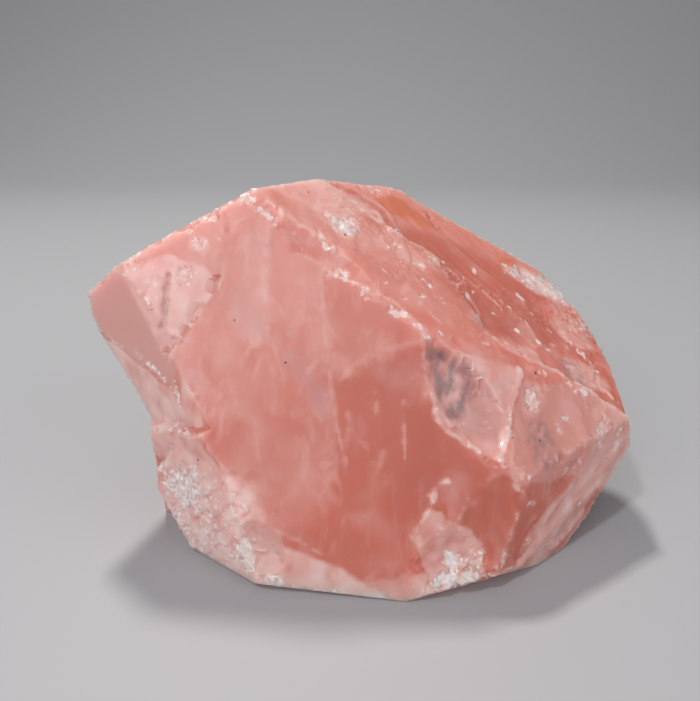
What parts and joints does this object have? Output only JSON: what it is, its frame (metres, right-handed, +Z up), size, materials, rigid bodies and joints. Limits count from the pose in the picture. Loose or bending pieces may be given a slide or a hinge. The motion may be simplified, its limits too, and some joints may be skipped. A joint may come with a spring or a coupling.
{
  "type": "rough rose quartz chunk",
  "caption": "Fist-sized rough broken chunk of pink translucent quartz with flat and conchoidal break faces, resting on a flat face; a display or craft stone.",
  "frame": {"origin": "a point of the flat resting face, near the middle of the stone's footprint", "axes": "+X along the longest extent, towards the blunt low end; -Y is the side that the large smooth face looks to; +Z up, out of the resting face, along the shortest extent"},
  "size_m": [0.1141, 0.0765, 0.0729],
  "materials": {
    "rose_quartz": "translucent pink broken quartz, smooth on the large face and hackly on the edges"
  },
  "bodies": {
    "root": {"rose_quartz": "rose_quartz"}
  },
  "joints": []
}
